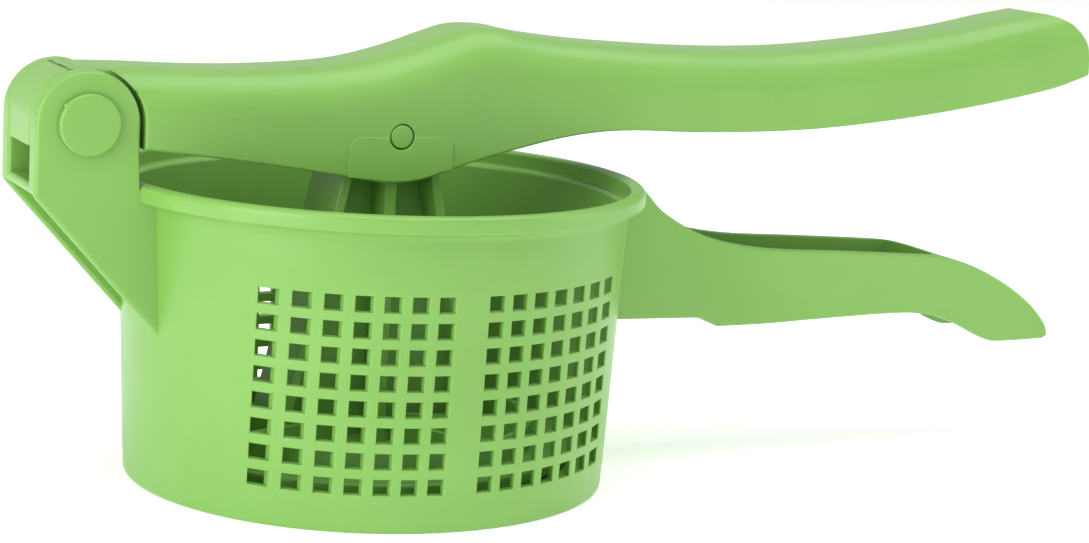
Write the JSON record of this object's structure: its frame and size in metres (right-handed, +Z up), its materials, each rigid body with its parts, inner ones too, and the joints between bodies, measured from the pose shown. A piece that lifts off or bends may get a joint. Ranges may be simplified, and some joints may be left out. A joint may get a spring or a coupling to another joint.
{
  "type": "potato ricer",
  "caption": "Hand-held plastic ricer: a perforated cup with a channel handle, and a hinged lever that presses a swinging disc down into the cup.",
  "frame": {"origin": "on the table under the middle of the ricer's length; the cup's axis is 54.45 mm towards -X from it", "axes": "+X from the hinge towards the handles' free ends, +Z up along the cup's axis, +Y across the hinge"},
  "size_m": [0.2838, 0.1298, 0.1155],
  "materials": {
    "pot_plastic": "satin moulded polypropylene, apple green",
    "lever_plastic": "satin moulded polypropylene, apple green",
    "plunger_plastic": "satin moulded polypropylene, apple green",
    "pin_plastic": "smooth moulded polypropylene, apple green"
  },
  "bodies": {
    "base": {"pot": "pot_plastic", "hinge_pin": "pin_plastic", "hinge_pin_cap": "pin_plastic"},
    "lever_arm": {"lever": "lever_plastic", "plunger_pin": "pin_plastic"},
    "press": {"plunger": "plunger_plastic"}
  },
  "joints": [
    {"name": "lever_hinge", "type": "hinge", "parent": "base", "child": "lever_arm", "pos_m": [-0.12995, 0, 0.0872], "axis": [0, -1, 0], "range_deg": [0, 80]},
    {"name": "plunger_swing", "type": "hinge", "parent": "lever_arm", "child": "press", "pos_m": [-0.05445, 0, 0.0842], "axis": [0, -1, 0], "range_deg": [-46.4, 0]}
  ],
  "couplings": [
    {"joint": "plunger_swing", "follows": "lever_hinge", "ratio": -0.58}
  ]
}
